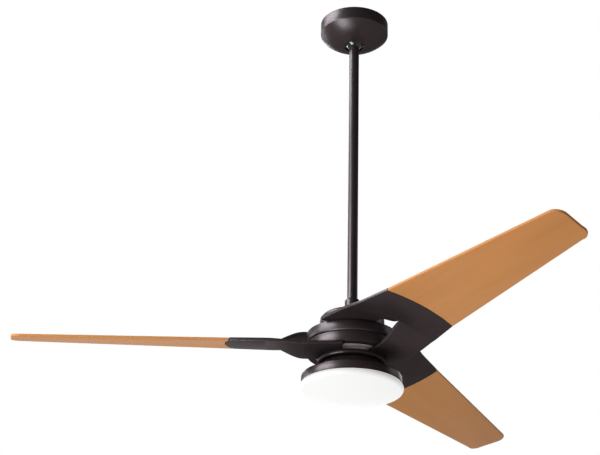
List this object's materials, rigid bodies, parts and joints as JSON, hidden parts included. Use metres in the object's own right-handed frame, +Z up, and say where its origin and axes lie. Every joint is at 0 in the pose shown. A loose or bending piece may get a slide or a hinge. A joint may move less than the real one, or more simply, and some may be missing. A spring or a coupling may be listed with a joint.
{
  "type": "ceiling fan",
  "caption": "Ceiling fan on a rod and hanger ball, with pitched wooden blades on forked metal arms, a drum motor and an opal glass dish light below.",
  "frame": {"origin": "on the fan's axis, at the top face of the ceiling bracket, which lies on the ceiling", "axes": "+Z up along the fan's axis, +X along the bracket's two slots"},
  "size_m": [1.0155, 1.1589, 0.8302],
  "materials": {
    "bronze_paint": "satin dark bronze",
    "blade_wood": "satin light walnut veneer",
    "opal_glass": "opal white, satin",
    "ball_black": "gloss black",
    "liner_plastic": "natural",
    "zinc_steel": "zinc plated",
    "dark_screws": "blackened",
    "copper_winding": "enamelled copper",
    "lead_sheath": "matt",
    "board_white": "white coated",
    "driver_case": "matt"
  },
  "bodies": {
    "ceiling_mount": {"ceiling_bracket": "zinc_steel", "canopy": "bronze_paint", "canopy_screws": "dark_screws"},
    "liner": {"socket_liner": "liner_plastic"},
    "hanging_core": {"hanger_ball": "ball_black", "ball_cross_pin": "zinc_steel", "downrod": "bronze_paint", "rod_collar": "bronze_paint", "motor_yoke": "zinc_steel", "yoke_pin": "zinc_steel", "yoke_set_screws": "dark_screws", "upper_housing": "bronze_paint", "upper_housing_screws": "dark_screws", "motor_shaft": "zinc_steel", "stator_core": "zinc_steel", "stator_windings": "copper_winding", "supply_leads": "lead_sheath", "light_pan": "bronze_paint", "pan_nut": "zinc_steel", "led_board": "board_white", "led_driver": "driver_case", "led_screws": "dark_screws", "opal_glass": "opal_glass"},
    "rotor": {"rotor_ring": "zinc_steel", "upper_bearing": "zinc_steel", "lower_bearing": "zinc_steel", "drum_upper": "bronze_paint", "drum_lower": "bronze_paint", "drum_bolts": "dark_screws", "lower_hub": "bronze_paint", "lower_hub_screws": "dark_screws", "blade_arm_1": "bronze_paint", "blade_arm_2": "bronze_paint", "blade_arm_3": "bronze_paint", "blade_1": "blade_wood", "blade_2": "blade_wood", "blade_3": "blade_wood", "blade_screws": "dark_screws", "arm_screws_upper": "dark_screws", "arm_screws_lower": "dark_screws"}
  },
  "joints": [
    {"name": "ball_tilt_side", "type": "hinge", "parent": "ceiling_mount", "child": "liner", "pos_m": [0, 0, -0.039], "axis": [0, 1, 0], "range_deg": [-12, 12]},
    {"name": "ball_tilt_fore", "type": "hinge", "parent": "liner", "child": "hanging_core", "pos_m": [0, 0, -0.039], "axis": [1, 0, 0], "range_deg": [-12, 12]},
    {"name": "rotor_spin", "type": "hinge", "parent": "hanging_core", "child": "rotor", "pos_m": [0, 0, -0.734], "axis": [0, 0, 1], "continuous": true}
  ]
}
